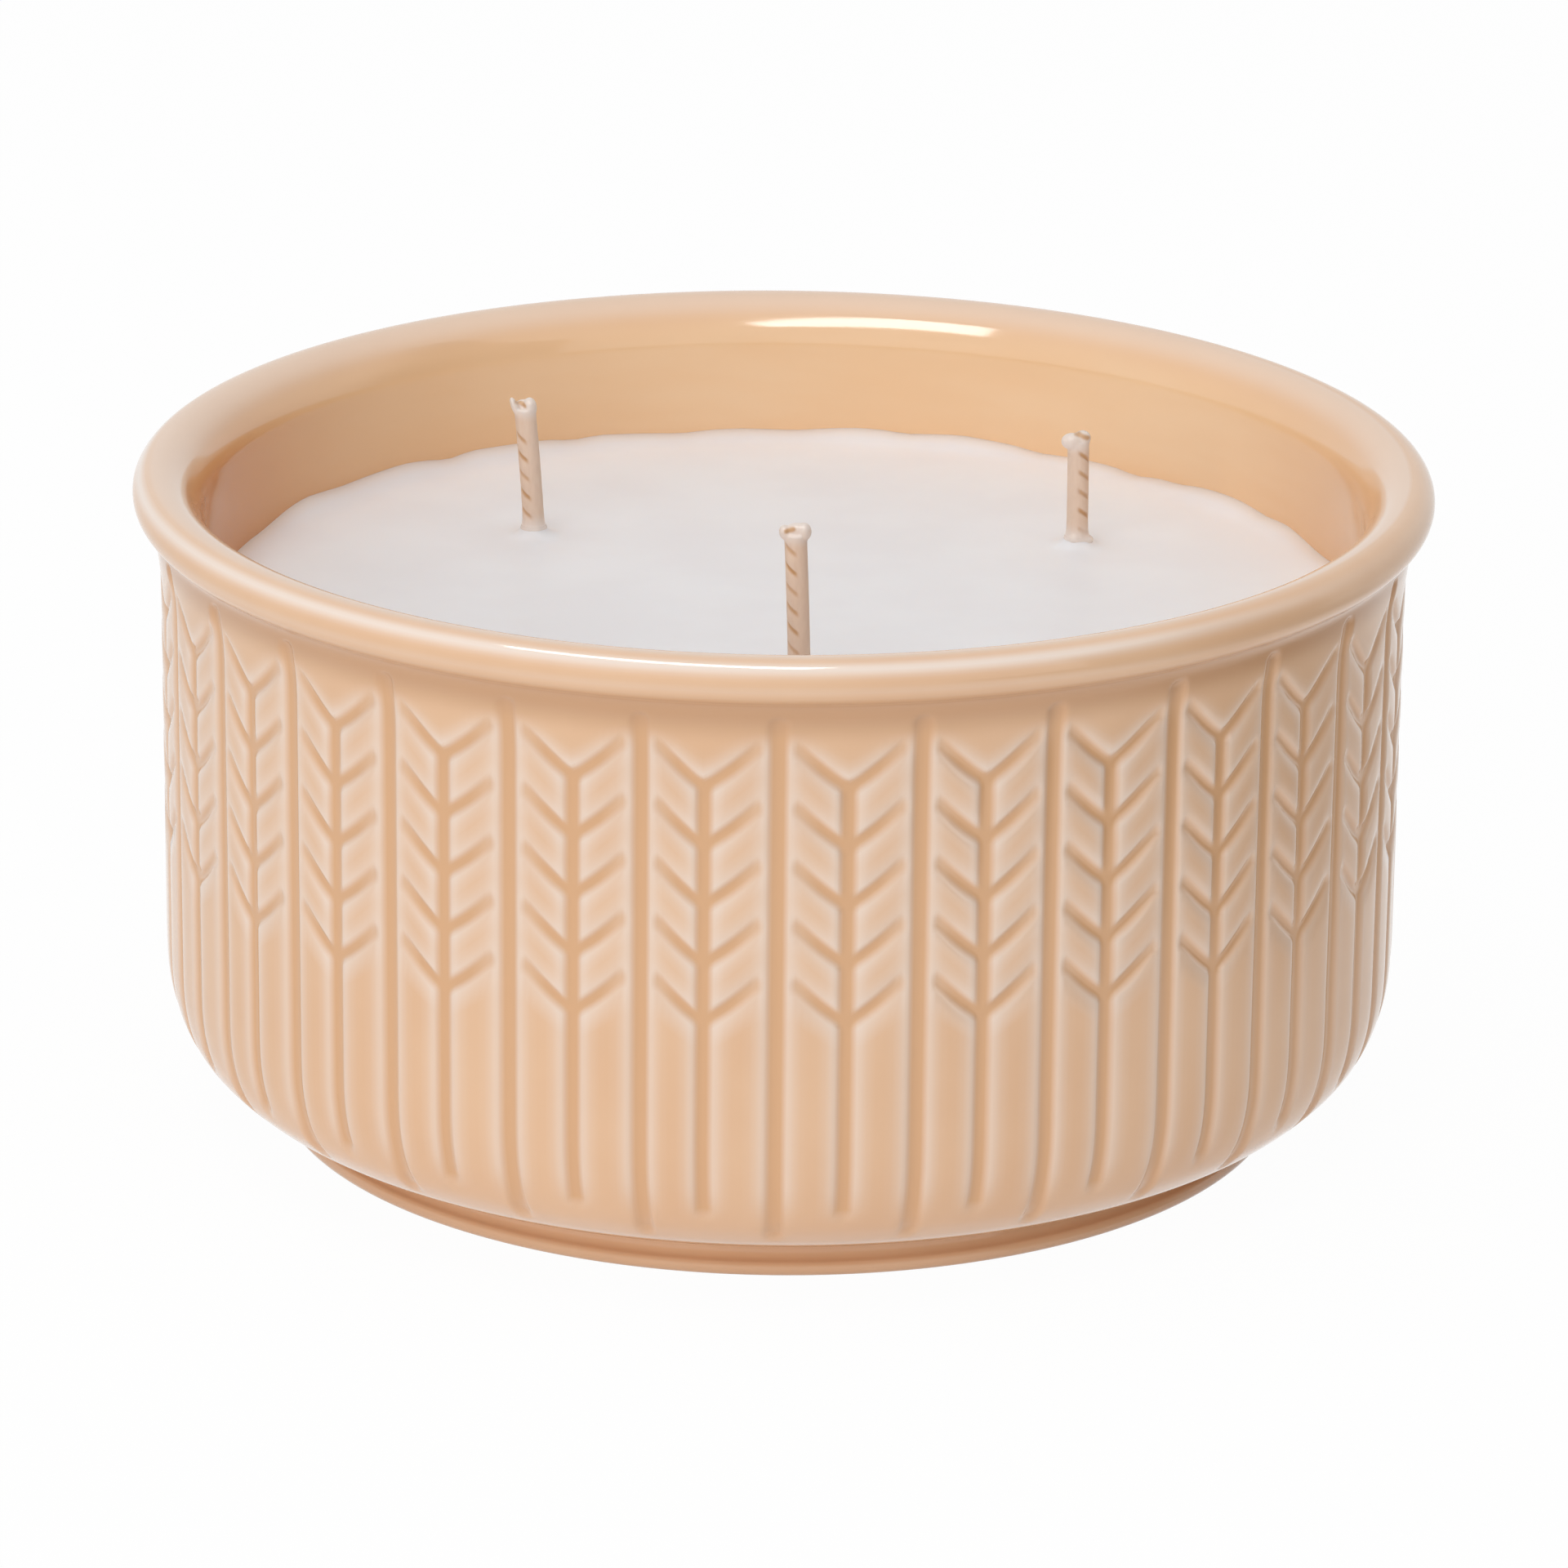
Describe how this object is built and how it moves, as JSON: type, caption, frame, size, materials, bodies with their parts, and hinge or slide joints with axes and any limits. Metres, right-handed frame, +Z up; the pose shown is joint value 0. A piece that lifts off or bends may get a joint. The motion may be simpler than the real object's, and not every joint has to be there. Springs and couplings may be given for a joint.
{
  "type": "container candle",
  "caption": "Round container candle: poured wax with upright braided wicks in a glazed ceramic bowl with a wheat-ear relief.",
  "frame": {"origin": "middle of the flat face of the foot ring that the bowl stands on", "axes": "+Z up along the bowl's axis, -Y towards the viewer of the picture, +X to that viewer's right"},
  "size_m": [0.14, 0.14, 0.073],
  "materials": {
    "bowl_glaze": "glossy peach glaze, paler where it breaks over edges and darker where it pools in the relief",
    "candle_wax": "smooth off-white candle wax, soft satin",
    "wick_cotton": "wax-primed braided cotton",
    "sustainer_tinplate": "stamped tinplate",
    "sticker_foam": "white adhesive foam"
  },
  "bodies": {
    "root": {"bowl": "bowl_glaze", "wax_fill": "candle_wax", "wick_left": "wick_cotton", "wick_right": "wick_cotton", "wick_front": "wick_cotton", "wick_sustainer_left": "sustainer_tinplate", "wick_sustainer_right": "sustainer_tinplate", "wick_sustainer_front": "sustainer_tinplate", "wick_sticker_left": "sticker_foam", "wick_sticker_right": "sticker_foam", "wick_sticker_front": "sticker_foam"}
  },
  "joints": []
}
